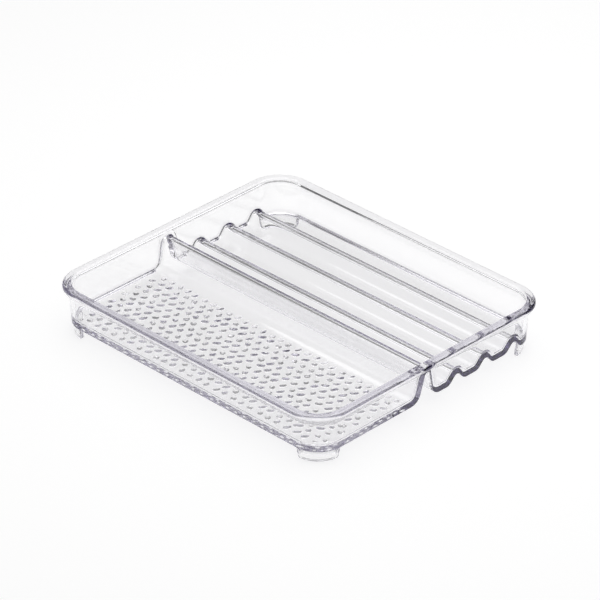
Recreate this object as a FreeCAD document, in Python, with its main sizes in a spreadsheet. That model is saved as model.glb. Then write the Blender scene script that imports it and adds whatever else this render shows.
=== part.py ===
import FreeCAD, Part
import math
import os
import Sketcher

# Clear vanity organizer: one moulded tray with a wide bay, a tall hollow divider,
# four narrow lanes between low hollow ribs, a rounded rim and four corner feet.
# X runs along the lanes, -Y is the bay side, Z is up, and the feet stand on Z = 0.

dimensions = [
    ("tray_length", 200.0, "rim to rim along the lanes"),
    ("tray_width", 173.5, "rim to rim across the lanes"),
    ("tray_height", 23.0, "underside of the floor to the top of the rim"),
    ("foot_height", 6.5, "table to the underside of the floor"),
    ("corner_radius", 20.0, "outer corner of the rim, seen from above"),
    ("wall_thick", 2.2, "side walls"),
    ("wall_lean", 1.3, "how far a wall leans outwards from floor to rim"),
    ("floor_thick", 2.2, "floor, ribs and divider"),
    ("base_bevel", 0.6, "bevel of the outer bottom edge"),
    ("floor_bevel", 1.5, "bevel where the walls meet the floor, inside"),
    ("rim_overhang", 3.0, "rim beyond the outer face of the wall"),
    ("rim_thick", 3.6, "top of the walls to the top of the rim"),
    ("rim_edge_round", 1.7, "rounded nose of the rim"),
    ("rim_inner_round", 0.8, "rounding of the rim's inner edge"),
    ("rim_under_fillet", 4.0, "hollow sweep from under the nose down to the wall"),
    ("last_lane_span", 20.0, "last rib's centre to the outer face of the back wall, at the floor"),
    ("lane_pitch", 21.7, "rib centre to rib centre"),
    ("first_lane_span", 23.2, "divider's centre to the first rib's centre"),
    ("rib_height", 7.3, "underside of the floor to a rib's crest"),
    ("rib_width", 15.6, "rib across its foot fillets"),
    ("rib_crest_radius", 4.8, "outer radius of a rib's crest"),
    ("rib_foot_radius", 2.6, "hollow fillet at a rib's foot"),
    ("divider_drop", 0.4, "top of the end walls down to the divider's crest"),
    ("divider_width", 21.4, "divider across its foot fillets"),
    ("divider_crest_radius", 4.1, "outer radius of the divider's crest"),
    ("divider_foot_radius", 4.4, "hollow fillet at the divider's foot"),
    ("foot_thick", 2.0, "wall of a foot"),
    ("foot_lean", 1.3, "how far a foot leans inwards from floor to table"),
    ("foot_end_round", 2.0, "rounding of a foot's two lower ends"),
    ("foot_sweep", 90.0, "angle of corner that a foot covers, in degrees"),
]
rib_count = 3
edge_tolerance = 1e-6
lane_count = rib_count + 1

# Values worked out from the driving dimensions
worked = [
    ("base_half_length", "Dims.tray_length / 2 - Dims.rim_overhang - Dims.wall_lean"),
    ("base_half_width", "Dims.tray_width / 2 - Dims.rim_overhang - Dims.wall_lean"),
    ("base_radius", "Dims.corner_radius - Dims.rim_overhang - Dims.wall_lean"),
    ("corner_x", "Dims.tray_length / 2 - Dims.corner_radius"),
    ("corner_y", "Dims.tray_width / 2 - Dims.corner_radius"),
    ("lean_angle", "atan(Dims.wall_lean / Dims.tray_height)"),
    ("lean_at_floor", "Dims.wall_lean * Dims.floor_thick / Dims.tray_height"),
    ("wall_height", "Dims.tray_height - Dims.rim_thick"),
    ("divider_height", "wall_height - Dims.divider_drop"),
    ("lean_at_rim", "Dims.wall_lean * wall_height / Dims.tray_height"),
    ("inner_inset", "Dims.wall_thick - lean_at_floor"),
    ("floor_top", "Dims.foot_height + Dims.floor_thick"),
    ("rim_bottom", "Dims.foot_height + wall_height"),
    ("foot_reach", "Dims.foot_height + 2 * Dims.floor_thick"),
    ("foot_slope", "Dims.foot_lean / Dims.foot_height"),
    ("last_rib_y", "base_half_width - Dims.last_lane_span"),
    ("divider_y", f"last_rib_y - {rib_count - 1} * Dims.lane_pitch - Dims.first_lane_span"),
]

doc = FreeCAD.newDocument("vanity_organizer")


def make_sheet(name, rows):
    sheet = doc.addObject("Spreadsheet::Sheet", name)
    for number, (alias, text, note) in enumerate(rows, start=1):
        sheet.set(f"A{number}", alias)
        sheet.set(f"B{number}", text)
        sheet.setAlias(f"B{number}", alias)
        sheet.set(f"C{number}", note)
    doc.recompute()
    return sheet


dims = make_sheet("Dims", [(alias, str(value), note) for alias, value, note in dimensions])
worked_out = make_sheet("Worked", [(alias, "=" + formula, "worked out") for alias, formula in worked])


def size(alias):
    sheet = dims if dims.getCellFromAlias(alias) else worked_out
    value = sheet.get(alias)
    return getattr(value, "Value", value)


def make_body(name, **place):
    body = doc.addObject("PartDesign::Body", name)
    body.Label = name
    for axis, expression in place.items():
        body.setExpression(f"Placement.Base.{axis}", expression)
    return body


def make_sketch(body, name, role):
    sketch = body.newObject("Sketcher::SketchObject", name)
    plane = next(feature for feature in body.Origin.OriginFeatures if feature.Role == role)
    sketch.AttachmentSupport = [(plane, "")]
    sketch.MapMode = "FlatFace"
    return sketch


def line(sketch, start, end):
    return sketch.addGeometry(Part.LineSegment(FreeCAD.Vector(*start, 0), FreeCAD.Vector(*end, 0)))


def arc(sketch, centre, radius, first_angle, last_angle):
    circle = Part.Circle(FreeCAD.Vector(*centre, 0), FreeCAD.Vector(0, 0, 1), radius)
    return sketch.addGeometry(Part.ArcOfCircle(circle, math.radians(first_angle), math.radians(last_angle)))


def fix(sketch, *constraint):
    return sketch.addConstraint(Sketcher.Constraint(*constraint))


def drive(sketch, name, expression, *constraint):
    index = fix(sketch, *constraint)
    sketch.renameConstraint(index, name)
    sketch.setExpression(f"Constraints.{name}", expression)


def rounded_rectangle(sketch, half_length, half_width, radius, trim, expressions):
    x, y, r = half_length - trim, half_width - trim, radius - trim
    right = line(sketch, (x, -y + r), (x, y - r))
    back_right = arc(sketch, (x - r, y - r), r, 0, 90)
    back = line(sketch, (x - r, y), (-x + r, y))
    back_left = arc(sketch, (-x + r, y - r), r, 90, 180)
    left = line(sketch, (-x, y - r), (-x, -y + r))
    front_left = arc(sketch, (-x + r, -y + r), r, 180, 270)
    front = line(sketch, (-x + r, -y), (x - r, -y))
    front_right = arc(sketch, (x - r, -y + r), r, 270, 360)
    loop = [right, back_right, back, back_left, left, front_left, front, front_right]
    for this, following in zip(loop, loop[1:] + loop[:1]):
        fix(sketch, "Tangent", this, 2, following, 1)
    for upright in (right, left):
        fix(sketch, "Vertical", upright)
    for level in (back, front):
        fix(sketch, "Horizontal", level)
    for corner in (back_left, front_left, front_right):
        fix(sketch, "Equal", back_right, corner)
    fix(sketch, "Symmetric", back_right, 3, front_left, 3, -1, 1)
    drive(sketch, "length", expressions[0], "DistanceX", left, 1, right, 2, 2 * x)
    drive(sketch, "width", expressions[1], "DistanceY", front, 1, back, 2, 2 * y)
    drive(sketch, "corner", expressions[2], "Radius", back_right, r)


def soften_bottom_edges(body, solid, kind, length, straight_only=False):
    doc.recompute()
    names = [f"Edge{number}" for number, edge in enumerate(solid.Shape.Edges, start=1)
             if edge.BoundBox.ZMax - solid.Shape.BoundBox.ZMin < edge_tolerance
             and (edge.Curve.TypeId == "Part::GeomLine" or not straight_only)]
    softened = body.newObject(f"PartDesign::{kind}", f"{body.Name}_softened")
    softened.Base = (solid, names)
    softened.setExpression("Radius" if kind == "Fillet" else "Size", length)
    body.Tip = softened


def tapered_form(name, trim, trim_expression, base_level, height, bottom_bevel):
    body = make_body(name, z=base_level)
    sketch = make_sketch(body, f"{name}_outline", "XY_Plane")
    expressions = [f"2 * (Worked.base_half_length - {trim_expression})",
                   f"2 * (Worked.base_half_width - {trim_expression})",
                   f"Worked.base_radius - {trim_expression}"]
    rounded_rectangle(sketch, size("base_half_length"), size("base_half_width"), size("base_radius"),
                      trim, expressions)
    pad = body.newObject("PartDesign::Pad", f"{name}_pad")
    pad.Profile = sketch
    pad.setExpression("Length", height)
    pad.setExpression("TaperAngle", "Worked.lean_angle")
    soften_bottom_edges(body, pad, "Chamfer", bottom_bevel)
    return body


# The leaning outer form of the walls, up to the rim, and the cavity inside it
outer_form = tapered_form("outer_form", 0.0, "0", "Dims.foot_height", "Worked.wall_height", "Dims.base_bevel")
cavity_form = tapered_form("cavity_form", size("inner_inset"), "Worked.inner_inset", "Worked.floor_top",
                           "Dims.tray_height", "Dims.floor_bevel")


wave_heights = {"divider": "Worked.divider_height", "rib": "Dims.rib_height"}


def wave_form(name, kind, centre, end_height, end_expression, offset, offset_expression):
    # A prism along the tray under one symmetric wave: upright ends, foot fillets, flanks and crest.
    # offset is how far its surface lies inside the wave's top surface.
    height, half = size(f"{kind}_height"), size(f"{kind}_width") / 2
    crest, foot = size(f"{kind}_crest_radius"), size(f"{kind}_foot_radius")
    crest_level, foot_level = height - crest, size("floor_thick") + foot
    rise = foot_level - crest_level
    flank = math.atan2(rise, half) + math.acos((crest + foot) / math.hypot(half, rise))
    degrees = math.degrees(flank)
    crest_r, foot_r = crest - offset, foot + offset
    crest_touch = (crest_r * math.cos(flank), crest_level + crest_r * math.sin(flank))
    foot_touch = (half - foot_r * math.cos(flank), foot_level - foot_r * math.sin(flank))
    low = -size("floor_thick")
    high = low + end_height

    body = make_body(name, y=centre, z="Dims.foot_height")
    sketch = make_sketch(body, f"{name}_outline", "YZ_Plane")
    base = line(sketch, (-half, low), (half, low))
    right_end = line(sketch, (half, low), (half, high))
    right_foot = arc(sketch, (half, foot_level), foot_r, 180 + degrees, 270)
    right_flank = line(sketch, foot_touch, crest_touch)
    crown = arc(sketch, (0, crest_level), crest_r, degrees, 180 - degrees)
    left_flank = line(sketch, (-crest_touch[0], crest_touch[1]), (-foot_touch[0], foot_touch[1]))
    left_foot = arc(sketch, (-half, foot_level), foot_r, 270, 360 - degrees)
    left_end = line(sketch, (-half, high), (-half, low))

    fix(sketch, "Coincident", base, 2, right_end, 1)
    fix(sketch, "Perpendicular", right_end, 2, right_foot, 2)
    fix(sketch, "Tangent", right_foot, 1, right_flank, 1)
    fix(sketch, "Tangent", right_flank, 2, crown, 1)
    fix(sketch, "Tangent", crown, 2, left_flank, 1)
    fix(sketch, "Tangent", left_flank, 2, left_foot, 2)
    fix(sketch, "Perpendicular", left_foot, 1, left_end, 1)
    fix(sketch, "Coincident", left_end, 2, base, 1)
    fix(sketch, "Vertical", right_end)
    fix(sketch, "Vertical", left_end)
    fix(sketch, "Symmetric", base, 1, base, 2, -2)
    fix(sketch, "Equal", right_end, left_end)
    fix(sketch, "Equal", right_foot, left_foot)
    fix(sketch, "PointOnObject", crown, 3, -2)
    drive(sketch, "width", f"Dims.{kind}_width", "DistanceX", base, 1, base, 2, 2 * half)
    drive(sketch, "depth", "Dims.floor_thick", "DistanceY", base, 1, -1, 1, -low)
    drive(sketch, "end", end_expression, "DistanceY", right_end, 1, right_end, 2, end_height)
    drive(sketch, "crest", f"Dims.{kind}_crest_radius - {offset_expression}", "Radius", crown, crest_r)
    drive(sketch, "foot", f"Dims.{kind}_foot_radius + {offset_expression}", "Radius", right_foot, foot_r)
    drive(sketch, "crest_level", f"{wave_heights[kind]} - Dims.{kind}_crest_radius",
          "DistanceY", -1, 1, crown, 3, crest_level)

    pad = body.newObject("PartDesign::Pad", f"{name}_pad")
    pad.Profile = sketch
    pad.SideType = "Symmetric"
    pad.setExpression("Length", "Dims.tray_length")
    return body


def cut(name, base, tool):
    result = doc.addObject("Part::Cut", name)
    result.Base = base
    result.Tool = tool
    return result


def common(name, base, tool):
    result = doc.addObject("Part::Common", name)
    result.Base = base
    result.Tool = tool
    return result


def zone(name, x_range, y_range, z_range):
    box = doc.addObject("Part::Box", name)
    for axis, side, (low, high) in zip("xyz", ("Length", "Width", "Height"), (x_range, y_range, z_range)):
        box.setExpression(side, f"({high}) - ({low})")
        box.setExpression(f"Placement.Base.{axis}", low)
    return box


parts = []

# Hollow divider and ribs: a solid wave, less the same wave one floor thickness further in
crowns = []
hollows = []


def hollow_wave(name, kind, centre):
    thick = size("floor_thick")
    crown = wave_form(f"{name}_crown", kind, centre, 2 * thick, "2 * Dims.floor_thick", 0.0, "0")
    hollow = wave_form(f"{name}_hollow", kind, centre, thick, "Dims.floor_thick", thick, "Dims.floor_thick")
    crowns.append(crown)
    hollows.append(hollow)
    shell = cut(f"{name}_shell", crown, hollow)
    parts.append(common(name, shell, outer_form))


hollow_wave("tall_divider", "divider", "Worked.divider_y")
rib_centres = []
for number in range(1, rib_count + 1):
    rib_centres.append(f"Worked.last_rib_y - {rib_count - number} * Dims.lane_pitch")
    hollow_wave(f"lane_rib_{number}", "rib", rib_centres[-1])

# Flat floors between the feet of the divider, the ribs and the outer edges
half_length, half_width = "Dims.tray_length / 2", "Dims.tray_width / 2"
floor_levels = ("Dims.foot_height", "Worked.floor_top")
full_length = (f"-{half_length}", half_length)
edges = [f"-{half_width}",
         "Worked.divider_y - Dims.divider_width / 2", "Worked.divider_y + Dims.divider_width / 2"]
for centre in rib_centres:
    edges += [f"{centre} - Dims.rib_width / 2", f"{centre} + Dims.rib_width / 2"]
edges.append(half_width)
floor_names = ["wide_bay_floor"] + [f"lane_{number}_floor" for number in range(1, lane_count + 1)]
for name, low, high in zip(floor_names, edges[0::2], edges[1::2]):
    slab = zone(f"{name}_slab", full_length, (low, high), floor_levels)
    parts.append(common(name, slab, outer_form))

# Walls stand on the floor, so the waves leave their outline in the lower edge of the end walls.
# The divider nearly reaches the rim, so each end wall is two pieces, one either side of its crest.
floor_slab = zone("floor_slab", full_length, (f"-{half_width}", half_width), floor_levels)
floor_block = doc.addObject("Part::MultiFuse", "floor_block")
floor_block.Shapes = [floor_slab] + crowns
wall_ring = cut("wall_ring", cut("open_ring", outer_form, cavity_form), floor_block)
wall_levels = ("Dims.foot_height", "Worked.rim_bottom")
x_zones = {"left": (f"-{half_length}", "-Worked.corner_x"), "middle": ("-Worked.corner_x", "Worked.corner_x"),
           "right": ("Worked.corner_x", half_length)}
y_zones = {"front": (f"-{half_width}", "-Worked.corner_y"), "bay": ("-Worked.corner_y", "Worked.divider_y"),
           "lanes": ("Worked.divider_y", "Worked.corner_y"), "back": ("Worked.corner_y", half_width)}
wall_zones = {"front_wall": ("middle", "front"), "back_wall": ("middle", "back"),
              "left_bay_wall": ("left", "bay"), "left_lanes_wall": ("left", "lanes"),
              "right_bay_wall": ("right", "bay"), "right_lanes_wall": ("right", "lanes")}
corner_signs = {"front_left": (-1, -1), "front_right": (1, -1), "back_right": (1, 1), "back_left": (-1, 1)}
for corner in corner_signs:
    y_name, x_name = corner.split("_")
    wall_zones[f"{corner}_corner"] = (x_name, y_name)
for name, (x_name, y_name) in wall_zones.items():
    box = zone(f"{name}_zone", x_zones[x_name], y_zones[y_name], wall_levels)
    parts.append(common(name, wall_ring, box))


# Rim flange: one profile carried round the top of the walls
def rim_profile(sketch):
    top, lean = size("rim_thick"), size("lean_angle")
    cosine, sine = math.cos(math.radians(lean)), math.sin(math.radians(lean))
    edge, inner, under = size("rim_edge_round"), size("rim_inner_round"), size("rim_under_fillet")
    wall_out = size("base_half_length") + size("lean_at_rim")
    wall_in = wall_out - size("wall_thick")
    nose_x, nose_z = size("tray_length") / 2 - edge, top - edge
    inner_x = wall_in + ((top - inner) * sine + inner) / cosine
    inner_touch = (inner_x - inner * cosine, top - inner + inner * sine)
    # The hollow circle touches the nose and the leaning outer face of the wall
    nose_gap = (nose_x - wall_out) * cosine - nose_z * sine
    drop = math.sqrt((under + edge) ** 2 - (under - nose_gap) ** 2)
    along = (nose_x - wall_out) * sine + nose_z * cosine - drop
    wall_touch = (wall_out + along * sine, along * cosine)
    under_x, under_z = wall_touch[0] + under * cosine, wall_touch[1] - under * sine
    toward = math.degrees(math.atan2(nose_z - under_z, nose_x - under_x))

    seat = line(sketch, (wall_out, 0), (wall_in, 0))
    inside = line(sketch, (wall_in, 0), inner_touch)
    inner_edge = arc(sketch, (inner_x, top - inner), inner, 90, 180 - lean)
    crown = line(sketch, (inner_x, top), (nose_x, top))
    nose = arc(sketch, (nose_x, nose_z), edge, toward - 180, 90)
    hollow = arc(sketch, (under_x, under_z), under, toward, 180 - lean)
    wall_face = line(sketch, wall_touch, (wall_out, 0))

    fix(sketch, "Coincident", seat, 2, inside, 1)
    fix(sketch, "Tangent", inside, 2, inner_edge, 2)
    fix(sketch, "Tangent", inner_edge, 1, crown, 1)
    fix(sketch, "Tangent", crown, 2, nose, 2)
    fix(sketch, "Tangent", nose, 1, hollow, 1)
    fix(sketch, "Tangent", hollow, 2, wall_face, 1)
    fix(sketch, "Coincident", wall_face, 2, seat, 1)
    fix(sketch, "Horizontal", seat)
    fix(sketch, "Horizontal", crown)
    fix(sketch, "Parallel", inside, wall_face)
    fix(sketch, "PointOnObject", seat, 1, -1)
    drive(sketch, "inner_edge", "Dims.rim_inner_round", "Radius", inner_edge, inner)
    drive(sketch, "nose", "Dims.rim_edge_round", "Radius", nose, edge)
    drive(sketch, "hollow", "Dims.rim_under_fillet", "Radius", hollow, under)
    drive(sketch, "lean", "90 deg - Worked.lean_angle", "Angle", inside, math.radians(90 - lean))
    drive(sketch, "thick", "Dims.rim_thick", "DistanceY", -1, 1, crown, 1, top)
    drive(sketch, "reach", "Dims.tray_length / 2 - Dims.rim_edge_round", "DistanceX", -1, 1, nose, 3, nose_x)
    drive(sketch, "wall_face", "Worked.base_half_length + Worked.lean_at_rim",
          "DistanceX", -1, 1, seat, 1, wall_out)
    drive(sketch, "wall", "Dims.wall_thick", "DistanceX", seat, 2, seat, 1, wall_out - wall_in)


rim = make_body("rim_flange", z="Worked.rim_bottom")
rim_path = make_sketch(rim, "rim_path", "XY_Plane")
rounded_rectangle(rim_path, size("tray_length") / 2, size("tray_width") / 2, size("corner_radius"), 0.0,
                  ["Dims.tray_length", "Dims.tray_width", "Dims.corner_radius"])
rim_section = make_sketch(rim, "rim_section", "XZ_Plane")
rim_section.setExpression("AttachmentOffset.Base.z", "Worked.corner_y")
rim_profile(rim_section)
rim_pipe = rim.newObject("PartDesign::AdditivePipe", "rim_pipe")
rim_pipe.Profile = rim_section
rim_pipe.Spine = (rim_path, [])
parts.append(rim)


# Corner feet: a thin leaning skirt turned about the corner's axis, cut off where it meets the underside
def foot_profile(sketch):
    height, thick = size("foot_reach"), size("foot_thick")
    lean = size("foot_slope") * height
    outer = size("base_radius") - size("base_bevel") - size("foot_lean")
    top = line(sketch, (outer + lean - thick, height), (outer + lean, height))
    outside = line(sketch, (outer + lean, height), (outer, 0))
    bottom = line(sketch, (outer, 0), (outer - thick, 0))
    inside = line(sketch, (outer - thick, 0), (outer + lean - thick, height))
    for this, following in ((top, outside), (outside, bottom), (bottom, inside), (inside, top)):
        fix(sketch, "Coincident", this, 2, following, 1)
    fix(sketch, "Horizontal", top)
    fix(sketch, "Parallel", inside, outside)
    fix(sketch, "Horizontal", bottom)
    fix(sketch, "PointOnObject", bottom, 1, -1)
    drive(sketch, "height", "Worked.foot_reach", "DistanceY", -1, 1, top, 1, height)
    drive(sketch, "outer", "Worked.base_radius - Dims.base_bevel - Dims.foot_lean",
          "DistanceX", -1, 1, bottom, 1, outer)
    drive(sketch, "thick", "Dims.foot_thick", "DistanceX", top, 1, top, 2, thick)
    drive(sketch, "lean", "Worked.foot_slope * Worked.foot_reach", "DistanceX", outside, 2, outside, 1, lean)


below_floor = zone("below_floor", full_length, (f"-{half_width}", half_width), ("0", "Dims.foot_height"))
open_underside = doc.addObject("Part::MultiFuse", "open_underside")
open_underside.Shapes = [below_floor] + hollows
for corner, (x_sign, y_sign) in corner_signs.items():
    name = f"{corner}_foot"
    skirt = make_body(f"{name}_skirt")
    turn = math.degrees(math.atan2(y_sign, x_sign))
    skirt.Placement = FreeCAD.Placement(FreeCAD.Vector(), FreeCAD.Rotation(FreeCAD.Vector(0, 0, 1), turn))
    skirt.setExpression("Placement.Base.x", f"{x_sign} * Worked.corner_x")
    skirt.setExpression("Placement.Base.y", f"{y_sign} * Worked.corner_y")
    sketch = make_sketch(skirt, f"{name}_section", "XZ_Plane")
    foot_profile(sketch)
    turned = skirt.newObject("PartDesign::Revolution", f"{name}_turned")
    turned.Profile = sketch
    turned.ReferenceAxis = (sketch, ["V_Axis"])
    turned.Midplane = True
    turned.setExpression("Angle", "Dims.foot_sweep")
    soften_bottom_edges(skirt, turned, "Fillet", "Dims.foot_end_round", straight_only=True)
    parts.append(common(name, skirt, open_underside))

doc.recompute()
failed = [thing.Label for thing in doc.Objects if "Invalid" in thing.State or "Error" in thing.State]
if failed:
    raise RuntimeError(f"these objects failed: {failed}")
for part in parts:
    shape = part.Shape
    if shape.isNull() or not shape.isValid() or len(shape.Solids) != 1:
        raise RuntimeError(f"{part.Label} is not one valid solid")

os.makedirs("parts", exist_ok=True)
for part in parts:
    part.Shape.exportStep(f"parts/{part.Label}.step")
    print(f"{part.Label}: {part.Shape.Volume / 1000:.2f} cm3")
print(f"{len(parts)} parts written")
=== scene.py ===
import math
import random

import bmesh
import bpy
from mathutils import Matrix, Vector


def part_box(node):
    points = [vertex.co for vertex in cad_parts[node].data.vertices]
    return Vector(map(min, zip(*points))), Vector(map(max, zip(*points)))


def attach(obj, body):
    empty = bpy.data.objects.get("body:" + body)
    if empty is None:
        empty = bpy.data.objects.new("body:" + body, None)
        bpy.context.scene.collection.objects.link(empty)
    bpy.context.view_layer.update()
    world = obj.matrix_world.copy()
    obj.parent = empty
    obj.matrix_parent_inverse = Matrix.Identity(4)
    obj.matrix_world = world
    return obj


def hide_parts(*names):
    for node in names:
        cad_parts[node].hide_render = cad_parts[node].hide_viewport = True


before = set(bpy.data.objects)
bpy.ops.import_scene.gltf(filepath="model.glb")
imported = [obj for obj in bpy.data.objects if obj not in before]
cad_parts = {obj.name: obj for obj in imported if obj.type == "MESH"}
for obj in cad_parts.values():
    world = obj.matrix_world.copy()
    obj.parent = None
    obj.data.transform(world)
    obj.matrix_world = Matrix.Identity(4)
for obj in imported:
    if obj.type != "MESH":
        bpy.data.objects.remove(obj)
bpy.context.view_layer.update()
mm = 0.001
slack = 0.01 * mm                  # for slicing, merging and finding points
print("frame loaded:", len(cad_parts), "nodes")

# Clear moulded tray: floor, waves, walls and rim are one closed skin
trayShell = {
    "wallThick": 2.2 * mm,
    "floorThick": 2.2 * mm,
    "wallLean": 1.3 * mm,          # floor underside to rim top
    "rimOverhang": 3.0 * mm,
    "cornerRadius": 20.0 * mm,     # outer edge of the rim, seen from above
    "noseRadius": 1.7 * mm,
    "innerRound": 0.8 * mm,
    "underHollow": 4.0 * mm,       # sweep from under the nose down to the wall
    "floorCove": 2.4 * mm,
    "baseRound": 0.12 * mm,
    "holdGap": 0.3 * mm,           # extra loop beside each round, keeps the flats flat
    "cellSize": 4.2 * mm,
    "marginCell": 2.2 * mm,        # first cells along the walls
    "cornerSteps": 24,
    "coveSteps": 5,
    "innerSteps": 5,
    "noseSteps": 14,
    "hollowSteps": 8,
    "baseSteps": 4,
}
waves = {
    "tall_divider": {"crest": 4.1 * mm, "foot": 4.4 * mm},
    "lane_rib_1": {"crest": 4.8 * mm, "foot": 2.6 * mm},
    "lane_rib_2": {"crest": 4.8 * mm, "foot": 2.6 * mm},
    "lane_rib_3": {"crest": 4.8 * mm, "foot": 2.6 * mm},
}
waveSteps = {"crest": 8, "flank": 3, "foot": 7}

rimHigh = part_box("rim_flange")[1]
bayLow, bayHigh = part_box("wide_bay_floor")
underZ, topZ, rimTop = bayLow.z, bayHigh.z, rimHigh.z
leanRate = trayShell["wallLean"] / (rimTop - underZ)
leanAngle = math.atan(leanRate)
baseInset = trayShell["rimOverhang"] + trayShell["wallLean"]
baseRadius = trayShell["cornerRadius"] - baseInset
cornerX = rimHigh.x - trayShell["cornerRadius"]
cornerY = rimHigh.y - trayShell["cornerRadius"]

for name, wave in waves.items():
    low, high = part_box(name)
    wave["y"], wave["half"] = (low.y + high.y) / 2, (high.y - low.y) / 2
    wave["crestZ"], wave["footZ"] = high.z - wave["crest"], topZ + wave["foot"]
    drop = wave["footZ"] - wave["crestZ"]
    reach = math.hypot(wave["half"], drop)
    wave["flank"] = math.atan2(drop, wave["half"]) + math.acos((wave["crest"] + wave["foot"]) / reach)


def waveAt(y, inset=0.0):
    # height of the floor at y and the way it faces in the YZ plane, inset below the top surface
    for wave in waves.values():
        away, side = abs(y - wave["y"]), math.copysign(1, y - wave["y"])
        if away >= wave["half"]:
            continue
        crest, foot, flank = wave["crest"] - inset, wave["foot"] + inset, wave["flank"]
        crestEnd, footStart = crest * math.cos(flank), wave["half"] - foot * math.cos(flank)
        if away <= crestEnd:
            turn = math.acos(away / crest)
            return wave["crestZ"] + crest * math.sin(turn), side * math.cos(turn), math.sin(turn)
        if away >= footStart:
            turn = math.acos((wave["half"] - away) / foot)
            return wave["footZ"] - foot * math.sin(turn), side * math.cos(turn), math.sin(turn)
        fall = (away - crestEnd) / math.tan(flank)
        return wave["crestZ"] + crest * math.sin(flank) - fall, side * math.cos(flank), math.sin(flank)
    return topZ - inset, 0.0, 1.0


def evenSteps(start, end, pitch):
    count = max(1, round(abs(end - start) / pitch))
    return [start + (end - start) * step / count for step in range(1, count)]


def waveRows():
    # rows across the waves, close together where the surface turns
    rows = []
    for wave in waves.values():
        flank = wave["flank"]
        crestEnd = wave["crest"] * math.cos(flank)
        footStart = wave["half"] - wave["foot"] * math.cos(flank)
        places = [0.0, wave["half"] + trayShell["holdGap"]]
        for step in range(1, waveSteps["crest"] + 1):
            turn = math.pi / 2 + (flank - math.pi / 2) * step / waveSteps["crest"]
            places.append(wave["crest"] * math.cos(turn))
        places += evenSteps(crestEnd, footStart, (footStart - crestEnd) / waveSteps["flank"])
        for step in range(waveSteps["foot"] + 1):
            turn = flank + (math.pi / 2 - flank) * step / waveSteps["foot"]
            places.append(wave["half"] - wave["foot"] * math.cos(turn))
        rows += [wave["y"] + place for place in places] + [wave["y"] - place for place in places if place]
    return sorted(rows)


# Depth of each skin at a height, measured outwards from the wall's foot
def innerDepth(z):
    return leanRate * (z - underZ) - trayShell["wallThick"]


nose = Vector((baseInset - trayShell["noseRadius"], rimTop - trayShell["noseRadius"]))
noseGap = (nose.x - leanRate * (nose.y - underZ)) * math.cos(leanAngle)
sweep = trayShell["underHollow"]
sweepDrop = math.sqrt((sweep + trayShell["noseRadius"]) ** 2 - (sweep - noseGap) ** 2)
wallAlong = nose.x * math.sin(leanAngle) + (nose.y - underZ) * math.cos(leanAngle) - sweepDrop
wallTouch = Vector((wallAlong * math.sin(leanAngle), underZ + wallAlong * math.cos(leanAngle)))
sweepCentre = wallTouch + sweep * Vector((math.cos(leanAngle), -math.sin(leanAngle)))
noseEnd = math.atan2(nose.y - sweepCentre.y, nose.x - sweepCentre.x) - math.pi


def outerDepth(z):
    if z <= wallTouch.y:
        return leanRate * (z - underZ)
    return sweepCentre.x - math.sqrt(sweep ** 2 - (z - sweepCentre.y) ** 2)


def slicePlate(bm, places, normal):
    for place in places:
        bmesh.ops.bisect_plane(bm, geom=bm.verts[:] + bm.edges[:] + bm.faces[:], dist=slack,
                               plane_co=Vector(normal) * place, plane_no=normal)


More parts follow.
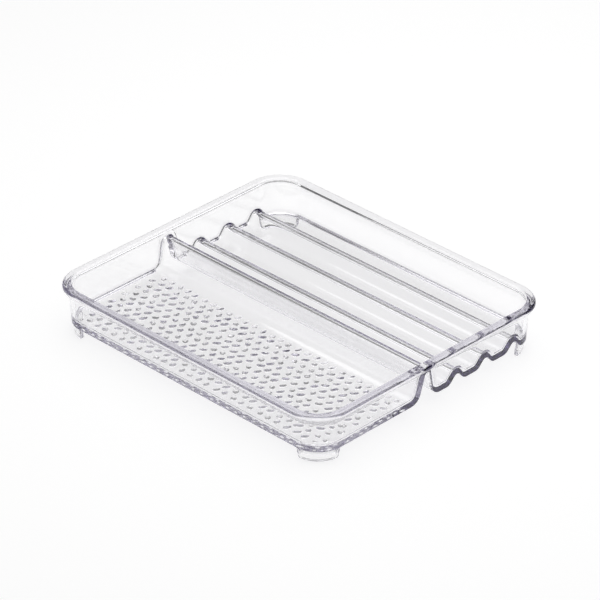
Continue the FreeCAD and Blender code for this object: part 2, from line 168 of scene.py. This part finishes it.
def buildTray():
    shell = trayShell
    bm = bmesh.new()
    core = bm.verts.layers.float_vector.new("core")      # middle of the corner turn, and the flat y
    facing = bm.verts.layers.float_vector.new("facing")  # way out of the tray at the edge

    # Flat plate with rounded corners, sliced into rows across the waves and columns along them
    plateDepth = innerDepth(topZ) - shell["floorCove"] - shell["holdGap"]
    plateX, plateY = cornerX + baseRadius + plateDepth, cornerY + baseRadius + plateDepth
    plate = bmesh.ops.create_grid(bm, x_segments=1, y_segments=1, size=1.0)["verts"]
    bmesh.ops.scale(bm, vec=(plateX, plateY, 1), verts=plate)
    bmesh.ops.bevel(bm, geom=plate, offset=baseRadius + plateDepth, offset_type="OFFSET",
                    segments=shell["cornerSteps"], profile=0.5, affect="VERTICES", material=-1)
    edgeX, edgeY = plateX - shell["marginCell"], plateY - shell["marginCell"]
    slicePlate(bm, [-edgeX] + evenSteps(-edgeX, edgeX, shell["cellSize"]) + [edgeX], (1, 0, 0))
    rows = waveRows()
    rows += [-edgeY] + evenSteps(-edgeY, rows[0], shell["cellSize"])
    rows += evenSteps(rows[-1], edgeY, shell["cellSize"]) + [edgeY]
    slicePlate(bm, sorted(rows), (0, 1, 0))

    rim = [edge for edge in bm.edges if edge.is_boundary]
    for vert in {vert for edge in rim for vert in edge.verts}:
        middle = Vector((max(-cornerX, min(cornerX, vert.co.x)), max(-cornerY, min(cornerY, vert.co.y)), 0))
        vert[facing] = (Vector((vert.co.x, vert.co.y, 0)) - middle).normalized()
        vert[core] = (middle.x, middle.y, vert.co.y)
    topFaces = bm.faces[:]
    under = bmesh.ops.duplicate(bm, geom=bm.verts[:] + bm.edges[:] + bm.faces[:])["geom"]
    underVerts = [item for item in under if isinstance(item, bmesh.types.BMVert)]
    bmesh.ops.reverse_faces(bm, faces=[item for item in under if isinstance(item, bmesh.types.BMFace)])

    def place(vert, depth, climb=None, level=None):
        # a point of the wall: either climbed off the floor's own surface, or at a level
        top, faceY, faceZ = waveAt(vert[core].z)
        z = level if climb is None else top + faceZ * climb
        reach = baseRadius + depth(z)
        if climb is not None and faceY:
            y = vert[core].z + faceY * climb
            over = max(0.0, abs(y) - cornerY) / reach
            vert.co = (math.copysign(cornerX + reach * math.sqrt(1 - over ** 2), vert[facing].x), y, z)
        else:
            vert.co = (vert[core].x + vert[facing].x * reach, vert[core].y + vert[facing].y * reach, z)

    # Floor and underside take the shape of the waves
    thick, baseRound, hold, cove = shell["floorThick"], shell["baseRound"], shell["holdGap"], shell["floorCove"]
    underEdge = {vert for vert in underVerts if vert.is_boundary}
    for vert in underVerts:
        if vert not in underEdge:
            top, faceY, faceZ = waveAt(vert.co.y)
            vert.co += Vector((0, -faceY * thick, top - faceZ * thick))
    for vert in underEdge:
        place(vert, lambda z: outerDepth(z) - baseRound - hold, climb=-thick)
    topVerts = {vert for face in topFaces for vert in face.verts}
    for vert in topVerts:
        vert.co.z = waveAt(vert.co.y)[0]
    for vert in topVerts:
        if vert.is_boundary:
            place(vert, lambda z: innerDepth(z) - cove - hold, climb=0.0)

    # Walls and rim grow from the floor's edge, loop by loop, over the rim and down to the underside
    steps = [(lambda z: innerDepth(z) - cove, {"climb": 0.0})]
    for step in range(1, shell["coveSteps"] + 1):
        turn = math.pi / 2 * step / shell["coveSteps"]
        steps.append((lambda z, turn=turn: innerDepth(z) - cove * (1 - math.sin(turn)),
                      {"climb": cove * (1 - math.cos(turn))}))
    steps.append((innerDepth, {"climb": cove + hold / 2}))
    roundZ = rimTop - shell["innerRound"]
    roundX = innerDepth(roundZ) + shell["innerRound"] / math.cos(leanAngle)
    steps.append((innerDepth, {"level": roundZ - hold}))
    for step in range(shell["innerSteps"] + 1):
        turn = math.pi - leanAngle + (leanAngle - math.pi / 2) * step / shell["innerSteps"]
        steps.append((lambda z, turn=turn: roundX + shell["innerRound"] * math.cos(turn),
                      {"level": roundZ + shell["innerRound"] * math.sin(turn)}))
    for x in (roundX + hold, nose.x - hold):
        steps.append((lambda z, x=x: x, {"level": rimTop}))
    for step in range(shell["noseSteps"] + 1):
        turn = math.pi / 2 + (noseEnd - math.pi / 2) * step / shell["noseSteps"]
        steps.append((lambda z, turn=turn: nose.x + shell["noseRadius"] * math.cos(turn),
                      {"level": nose.y + shell["noseRadius"] * math.sin(turn)}))
    noseEndZ = nose.y + shell["noseRadius"] * math.sin(noseEnd)
    for step in range(1, shell["hollowSteps"] + 1):
        steps.append((outerDepth, {"share": step / shell["hollowSteps"]}))
    steps.append((outerDepth, {"climb": baseRound + hold - thick}))
    for step in range(shell["baseSteps"] + 1):
        turn = math.pi / 2 * step / shell["baseSteps"]
        steps.append((lambda z, turn=turn: outerDepth(z) - baseRound * (1 - math.cos(turn)),
                      {"climb": baseRound * (1 - math.sin(turn)) - thick}))
    steps.append((lambda z: outerDepth(z) - baseRound - hold, {"climb": -thick}))

    loop = [edge for edge in bm.edges if edge.is_boundary and edge.verts[0] in topVerts]
    for depth, where in steps:
        grown = bmesh.ops.extrude_edge_only(bm, edges=loop)["geom"]
        verts = {item for item in grown if isinstance(item, bmesh.types.BMVert)}
        for vert in verts:
            if "share" in where:
                # the sweep under the rim stops short where the divider's channel breaks out
                top, faceY, faceZ = waveAt(vert[core].z)
                lowest = max(wallTouch.y - hold, top + faceZ * (baseRound + 2 * hold - thick))
                place(vert, depth, level=noseEndZ + (lowest - noseEndZ) * where["share"])
            else:
                place(vert, depth, **where)
        loop = [edge for edge in bm.edges if edge.verts[0] in verts and edge.verts[1] in verts]
    lastLoop = {vert for edge in loop for vert in edge.verts}
    bmesh.ops.remove_doubles(bm, verts=list(lastLoop | underEdge), dist=slack / 2)
    bmesh.ops.recalc_face_normals(bm, faces=bm.faces[:])
    return bm, [face for face in topFaces if face.is_valid]


# Pebble relief on the floor of the wide bay
pebbles = {
    "pitchX": 6.4 * mm,
    "pitchY": 5.2 * mm,
    "length": (4.4 * mm, 5.4 * mm),
    "width": (3.2 * mm, 3.9 * mm),
    "height": (0.65 * mm, 0.85 * mm),
    "dome": 0.7,                   # under 1 gives flatter tops
    "shift": 0.25,                 # rows step aside in turn, share of the pitch
    "stray": 0.1,                  # random offset, share of the pitch
    "slant": (25, 70),             # degrees off the tray's length, to either side
    "binSize": 8.0 * mm,           # search grid for the nearest ones
    "cuts": 8,                     # floor cells are cut this often for the relief
    "seed": 11,
}


def pebbleBin(x, y):
    return round(x / pebbles["binSize"]), round(y / pebbles["binSize"])


def scatterPebbles(lowX, highX, lowY, highY):
    rng = random.Random(pebbles["seed"])
    stray = pebbles["stray"]
    columns = round((highX - lowX) / pebbles["pitchX"])
    rows = round((highY - lowY) / pebbles["pitchY"])
    found = {}
    for row in range(rows):
        for column in range(columns):
            shift = pebbles["shift"] if row % 2 else -pebbles["shift"]
            x = lowX + (column + 0.5 + shift + rng.uniform(-stray, stray)) * (highX - lowX) / columns
            y = lowY + (row + 0.5 + rng.uniform(-stray, stray)) * (highY - lowY) / rows
            turn = math.radians(rng.choice((-1, 1)) * rng.uniform(*pebbles["slant"]))
            sizes = [rng.uniform(*pebbles[key]) for key in ("length", "width", "height")]
            found.setdefault(pebbleBin(x, y), []).append((x, y, turn, *sizes))
    return found


def pebbleHeight(found, x, y):
    height = 0.0
    column, row = pebbleBin(x, y)
    for key in [(column + i, row + j) for i in (-1, 0, 1) for j in (-1, 0, 1)]:
        for px, py, turn, length, width, tall in found.get(key, ()):
            along = (x - px) * math.cos(turn) + (y - py) * math.sin(turn)
            across = (y - py) * math.cos(turn) - (x - px) * math.sin(turn)
            share = 1 - (2 * along / length) ** 2 - (2 * across / width) ** 2
            if share > 0:
                height = max(height, tall * share ** pebbles["dome"])
    return height


def raisePebbles(bm, floorFaces):
    # whole cells of the bay's floor, clear of its edge, are cut finer and take the relief
    bayEnd = waves["tall_divider"]["y"] - waves["tall_divider"]["half"] - trayShell["holdGap"]
    margin = innerDepth(topZ) - trayShell["floorCove"] - trayShell["holdGap"] - trayShell["marginCell"]
    fieldX, fieldY = cornerX + baseRadius + margin, cornerY + baseRadius + margin
    cells = [face for face in floorFaces if len(face.verts) == 4 and all(
        abs(vert.co.x) < fieldX + slack and -fieldY - slack < vert.co.y < bayEnd + slack for vert in face.verts)]
    edges = list({edge for face in cells for edge in face.edges})
    made = bmesh.ops.subdivide_edges(bm, edges=edges, cuts=pebbles["cuts"], use_grid_fill=True)["geom_inner"]
    field = scatterPebbles(-fieldX, fieldX, -fieldY, bayEnd)
    for item in made:
        if isinstance(item, bmesh.types.BMVert):
            item.co.z += pebbleHeight(field, item.co.x, item.co.y)


def finishPiece(bm, name, material, nodes):
    for face in bm.faces:
        face.smooth = True
    mesh = bpy.data.meshes.new(name)
    bm.to_mesh(mesh)
    gaps = [edge for edge in bm.edges if len(edge.link_faces) != 2]
    bm.free()
    mesh.materials.append(material)
    piece = bpy.data.objects.new(name, mesh)
    bpy.context.scene.collection.objects.link(piece)
    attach(piece, "root")
    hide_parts(*nodes)
    print(name, "built:", len(mesh.polygons), "faces,", len(gaps), "open edges")


# Clear plastic with a faint violet cast that gathers along the edges
clearPlastic = {
    "ior": 1.53,
    "tint": (0.50, 0.465, 0.61, 1.0),
    "density": 20.0,
    "shadowPass": 0.96,
    "waveLength": 14.0 * mm,       # slow unevenness of the moulded faces
    "waveDepth": 0.006,
    "gloss": (0.0, 0.03),          # roughness, polished to handled
}
mouldedFinish = {
    "bumpHeight": 1.0 * mm,
    "swellDetail": 1.0,
    "patchScale": 40.0,            # patches of handling, per metre
    "patchDetail": 3.0,
    "patchRange": (0.4, 0.7),      # noise level where a patch begins, and is full
}


def addMath(tree, operation, first, second):
    # sockets are linked, numbers are set
    node = tree.nodes.new("ShaderNodeMath")
    node.operation = operation
    for socket, given in zip(node.inputs, (first, second)):
        if isinstance(given, bpy.types.NodeSocket):
            tree.links.new(given, socket)
        else:
            socket.default_value = given
    return node.outputs["Value"]


def mouldedSurface():
    # slow waviness and patches of handling, for every clear piece
    finish = mouldedFinish
    group = bpy.data.node_groups.new("mouldedSurface", "ShaderNodeTree")
    sides = group.interface
    for label in ("Wave Length", "Wave Depth", "Least Roughness", "Most Roughness"):
        sides.new_socket(label, in_out="INPUT", socket_type="NodeSocketFloat")
    sides.new_socket("Roughness", in_out="OUTPUT", socket_type="NodeSocketFloat")
    sides.new_socket("Normal", in_out="OUTPUT", socket_type="NodeSocketVector")
    nodes, links = group.nodes, group.links
    given, result = nodes.new("NodeGroupInput"), nodes.new("NodeGroupOutput")
    place = nodes.new("ShaderNodeTexCoord")
    scale = addMath(group, "DIVIDE", 1.0, given.outputs["Wave Length"])
    swell = nodes.new("ShaderNodeTexNoise")
    swell.inputs["Detail"].default_value = finish["swellDetail"]
    links.new(place.outputs["Object"], swell.inputs["Vector"])
    links.new(scale, swell.inputs["Scale"])
    bump = nodes.new("ShaderNodeBump")
    bump.inputs["Distance"].default_value = finish["bumpHeight"]
    links.new(given.outputs["Wave Depth"], bump.inputs["Strength"])
    links.new(swell.outputs["Fac"], bump.inputs["Height"])
    links.new(bump.outputs["Normal"], result.inputs["Normal"])
    patches = nodes.new("ShaderNodeTexNoise")
    patches.inputs["Scale"].default_value = finish["patchScale"]
    patches.inputs["Detail"].default_value = finish["patchDetail"]
    links.new(place.outputs["Object"], patches.inputs["Vector"])
    gloss = nodes.new("ShaderNodeMapRange")
    gloss.inputs["From Min"].default_value, gloss.inputs["From Max"].default_value = finish["patchRange"]
    links.new(patches.outputs["Fac"], gloss.inputs["Value"])
    links.new(given.outputs["Least Roughness"], gloss.inputs["To Min"])
    links.new(given.outputs["Most Roughness"], gloss.inputs["To Max"])
    links.new(gloss.outputs["Result"], result.inputs["Roughness"])
    return group


def makePlastic(name, settings, surface):
    material = bpy.data.materials.new(name)
    material.use_nodes = True
    nodes, links = material.node_tree.nodes, material.node_tree.links
    shader = nodes["Principled BSDF"]
    shader.inputs["Base Color"].default_value = (1, 1, 1, 1)
    shader.inputs["IOR"].default_value = settings["ior"]
    shader.inputs["Transmission Weight"].default_value = 1.0
    face = nodes.new("ShaderNodeGroup")
    face.node_tree = surface
    face.inputs["Wave Length"].default_value = settings["waveLength"]
    face.inputs["Wave Depth"].default_value = settings["waveDepth"]
    face.inputs["Least Roughness"].default_value = settings["gloss"][0]
    face.inputs["Most Roughness"].default_value = settings["gloss"][1]
    links.new(face.outputs["Roughness"], shader.inputs["Roughness"])
    links.new(face.outputs["Normal"], shader.inputs["Normal"])
    absorb = nodes.new("ShaderNodeVolumeAbsorption")
    absorb.inputs["Color"].default_value = settings["tint"]
    absorb.inputs["Density"].default_value = settings["density"]
    # light on its way to the floor passes straight through
    path = nodes.new("ShaderNodeLightPath")
    straight = addMath(material.node_tree, "MAXIMUM", path.outputs["Is Shadow Ray"], path.outputs["Is Diffuse Ray"])
    clear = nodes.new("ShaderNodeBsdfTransparent")
    clear.inputs["Color"].default_value = (settings["shadowPass"],) * 3 + (1,)
    mix = nodes.new("ShaderNodeMixShader")
    output = nodes["Material Output"]
    links.new(straight, mix.inputs["Fac"])
    links.new(shader.outputs["BSDF"], mix.inputs[1])
    links.new(clear.outputs["BSDF"], mix.inputs[2])
    links.new(mix.outputs["Shader"], output.inputs["Surface"])
    links.new(absorb.outputs["Volume"], output.inputs["Volume"])
    return material


surface = mouldedSurface()
trayPlastic = makePlastic("trayPlastic", clearPlastic, surface)
trayMesh, trayFloor = buildTray()
raisePebbles(trayMesh, trayFloor)
finishPiece(trayMesh, "moulded_tray", trayPlastic, [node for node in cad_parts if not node.endswith("_foot")])

# Corner feet: thin curved skirts under the base
cornerFoot = {
    "thick": 2.0 * mm,
    "lean": 1.3 * mm,
    "endRound": 2.0 * mm,          # lower end corners
    "endSteps": 6,
    "joint": 0.03 * mm,            # hairline between foot and base
    "sweep": math.radians(90),
    "endSlack": 0.01,              # radians, for finding the ends
    "steps": 24,
    "plastic": {"density": 10.0, "waveDepth": 0.003},
}


def buildFoot(turn, centre):
    shape = cornerFoot
    outer = baseRadius - trayShell["baseRound"]
    bm = bmesh.new()
    corners = [(outer - shape["thick"], underZ), (outer - shape["lean"] - shape["thick"], 0),
               (outer - shape["lean"], 0), (outer, underZ)]
    verts = [bmesh.ops.create_vert(bm, co=(r, 0, z))["vert"][0] for r, z in corners]
    bmesh.ops.contextual_create(bm, geom=verts)
    bmesh.ops.rotate(bm, cent=(0, 0, 0), matrix=Matrix.Rotation(-shape["sweep"] / 2, 3, "Z"), verts=bm.verts[:])
    bmesh.ops.spin(bm, geom=bm.verts[:] + bm.edges[:] + bm.faces[:], cent=(0, 0, 0), axis=(0, 0, 1),
                   dvec=(0, 0, 0), angle=shape["sweep"], steps=shape["steps"], use_duplicate=False)
    ends = [edge for edge in bm.edges if all(
        vert.co.z < slack and abs(math.atan2(vert.co.y, vert.co.x)) > shape["sweep"] / 2 - shape["endSlack"]
        for vert in edge.verts)]
    bmesh.ops.bevel(bm, geom=ends, offset=shape["endRound"], offset_type="OFFSET",
                    segments=shape["endSteps"], profile=0.5, affect="EDGES", material=-1)
    bmesh.ops.rotate(bm, cent=(0, 0, 0), matrix=Matrix.Rotation(turn, 3, "Z"), verts=bm.verts[:])
    bmesh.ops.translate(bm, vec=centre, verts=bm.verts[:])
    bmesh.ops.recalc_face_normals(bm, faces=bm.faces[:])
    for vert in bm.verts:
        if vert.co.z > underZ - slack:
            vert.co.z = waveAt(vert.co.y, trayShell["floorThick"])[0] - shape["joint"]
    return bm


footPlastic = makePlastic("footPlastic", clearPlastic | cornerFoot["plastic"], surface)
for name, sideX, sideY in (("front_left_foot", -1, -1), ("front_right_foot", 1, -1),
                           ("back_right_foot", 1, 1), ("back_left_foot", -1, 1)):
    footMesh = buildFoot(math.atan2(sideY, sideX), (sideX * cornerX, sideY * cornerY, 0))
    finishPiece(footMesh, name + "_skirt", footPlastic, [name])

# Studio: white floor in a dim room, under one wide soft lamp
studio = {
    "floorSize": 4.0,
    "floorColor": (0.92, 0.92, 0.92, 1),
    "floorRough": 0.9,
    "whiten": 0.33,                # lifts the floor to white, also as the plastic shows it
    "surround": (0.04, 0.22),      # dim room, backdrop
    "backdropWay": (-0.70, 0.71, 0.0),
    "backdropSpread": (0.2, 0.9),  # from its edge to its middle
    "horizon": (0.16, 0.04),       # rise of a ray, where the room ends and the white behind the floor begins
    "floorDrop": 0.02 * mm,        # keeps the floor clear of the feet
}


def makeFloor():
    bm = bmesh.new()
    bmesh.ops.create_grid(bm, x_segments=1, y_segments=1, size=studio["floorSize"] / 2)
    bmesh.ops.translate(bm, vec=(0, 0, -studio["floorDrop"]), verts=bm.verts[:])
    mesh = bpy.data.meshes.new("floor")
    bm.to_mesh(mesh)
    bm.free()
    floor = bpy.data.objects.new("floor", mesh)
    bpy.context.scene.collection.objects.link(floor)
    material = bpy.data.materials.new("floorWhite")
    material.use_nodes = True
    nodes, links = material.node_tree.nodes, material.node_tree.links
    shader = nodes["Principled BSDF"]
    shader.inputs["Base Color"].default_value = studio["floorColor"]
    shader.inputs["Roughness"].default_value = studio["floorRough"]
    shader.inputs["Specular IOR Level"].default_value = 0.0
    shader.inputs["Emission Color"].default_value = (1, 1, 1, 1)
    path = nodes.new("ShaderNodeLightPath")
    through = addMath(material.node_tree, "MAXIMUM", path.outputs["Is Glossy Ray"], path.outputs["Is Transmission Ray"])
    seen = addMath(material.node_tree, "MAXIMUM", path.outputs["Is Camera Ray"], through)
    lift = addMath(material.node_tree, "MULTIPLY", seen, studio["whiten"])
    links.new(lift, shader.inputs["Emission Strength"])
    mesh.materials.append(material)


def makeWorld():
    world = bpy.data.worlds.new("studioWorld")
    bpy.context.scene.world = world
    world.use_nodes = True
    nodes, links = world.node_tree.nodes, world.node_tree.links
    surround = nodes["Background"]
    surround.inputs["Color"].default_value = (1, 1, 1, 1)
    heading = nodes.new("ShaderNodeTexCoord")
    toward = nodes.new("ShaderNodeVectorMath")
    toward.operation = "DOT_PRODUCT"
    toward.inputs[1].default_value = studio["backdropWay"]
    level = nodes.new("ShaderNodeMapRange")
    level.inputs["From Min"].default_value, level.inputs["From Max"].default_value = studio["backdropSpread"]
    level.inputs["To Min"].default_value, level.inputs["To Max"].default_value = studio["surround"]
    links.new(heading.outputs["Generated"], toward.inputs[0])
    links.new(toward.outputs["Value"], level.inputs["Value"])
    links.new(level.outputs["Result"], surround.inputs["Strength"])
    white = nodes.new("ShaderNodeBackground")
    white.inputs["Color"].default_value = (1, 1, 1, 1)
    # the camera sees white behind the floor, and so does the plastic, low down
    path = nodes.new("ShaderNodeLightPath")
    through = addMath(world.node_tree, "MAXIMUM", path.outputs["Is Glossy Ray"], path.outputs["Is Transmission Ray"])
    rise = nodes.new("ShaderNodeSeparateXYZ")
    links.new(heading.outputs["Generated"], rise.inputs["Vector"])
    low = nodes.new("ShaderNodeMapRange")
    low.inputs["From Min"].default_value, low.inputs["From Max"].default_value = studio["horizon"]
    links.new(rise.outputs["Z"], low.inputs["Value"])
    behind = addMath(world.node_tree, "MULTIPLY", through, low.outputs["Result"])
    seen = addMath(world.node_tree, "MAXIMUM", path.outputs["Is Camera Ray"], behind)
    mix = nodes.new("ShaderNodeMixShader")
    links.new(seen, mix.inputs["Fac"])
    links.new(surround.outputs["Background"], mix.inputs[1])
    links.new(white.outputs["Background"], mix.inputs[2])
    links.new(mix.outputs["Shader"], nodes["World Output"].inputs["Surface"])


topLamp = {"place": (0.0, 0.1, 1.1), "aim": (0, 0, 0), "size": (1.7, 1.7), "power": 14.4}


def addLamp(name, settings):
    lamp = bpy.data.lights.new(name, "AREA")
    lamp.shape = "RECTANGLE"
    lamp.size, lamp.size_y = settings["size"]
    lamp.energy = settings["power"]
    lampObject = bpy.data.objects.new(name, lamp)
    lampObject.location = settings["place"]
    beam = Vector(settings["aim"]) - Vector(settings["place"])
    lampObject.rotation_euler = beam.to_track_quat("-Z", "Y").to_euler()
    bpy.context.scene.collection.objects.link(lampObject)


makeFloor()
makeWorld()
addLamp("topLamp", topLamp)
print("studio set: floor, room and one lamp")

# Camera at the photograph's angle, with its long lens
shot = {
    "azimuth": 44.626,             # degrees
    "elevation": 31.625,
    "focal": 4022.8,               # pixels
    "distance": 2.114,
    "right": -1.871,               # pixels from the middle of the picture
    "down": 27.265,
    "picture": 600,                # pixels
    "sensor": 36.0,
    "bounces": 64,                 # clear walls lie many deep
}
azimuth, elevation = math.radians(shot["azimuth"]), math.radians(shot["elevation"])
back = Vector((math.sin(azimuth) * math.cos(elevation), -math.cos(azimuth) * math.cos(elevation), math.sin(elevation)))
right = Vector((math.cos(azimuth), math.sin(azimuth), 0))
up = back.cross(right)
target = Vector((0, 0, underZ))
perPixel = shot["distance"] / shot["focal"]
aim = target + up * shot["down"] * perPixel - right * shot["right"] * perPixel
camera = bpy.data.cameras.new("camera")
camera.sensor_width = shot["sensor"]
camera.lens = shot["focal"] / shot["picture"] * shot["sensor"]
cameraObject = bpy.data.objects.new("camera", camera)
cameraObject.location = target + back * shot["distance"]
cameraObject.rotation_euler = (aim - cameraObject.location).to_track_quat("-Z", "Y").to_euler()
bpy.context.scene.collection.objects.link(cameraObject)
bpy.context.scene.camera = cameraObject
bpy.context.scene.view_settings.view_transform = "Standard"
bpy.context.scene.cycles.max_bounces = shot["bounces"]
bpy.context.scene.cycles.transmission_bounces = shot["bounces"]
bpy.context.scene.cycles.glossy_bounces = shot["bounces"]
bpy.context.scene.cycles.transparent_max_bounces = shot["bounces"]
print("camera set:", shot["azimuth"], "round,", shot["elevation"], "up")
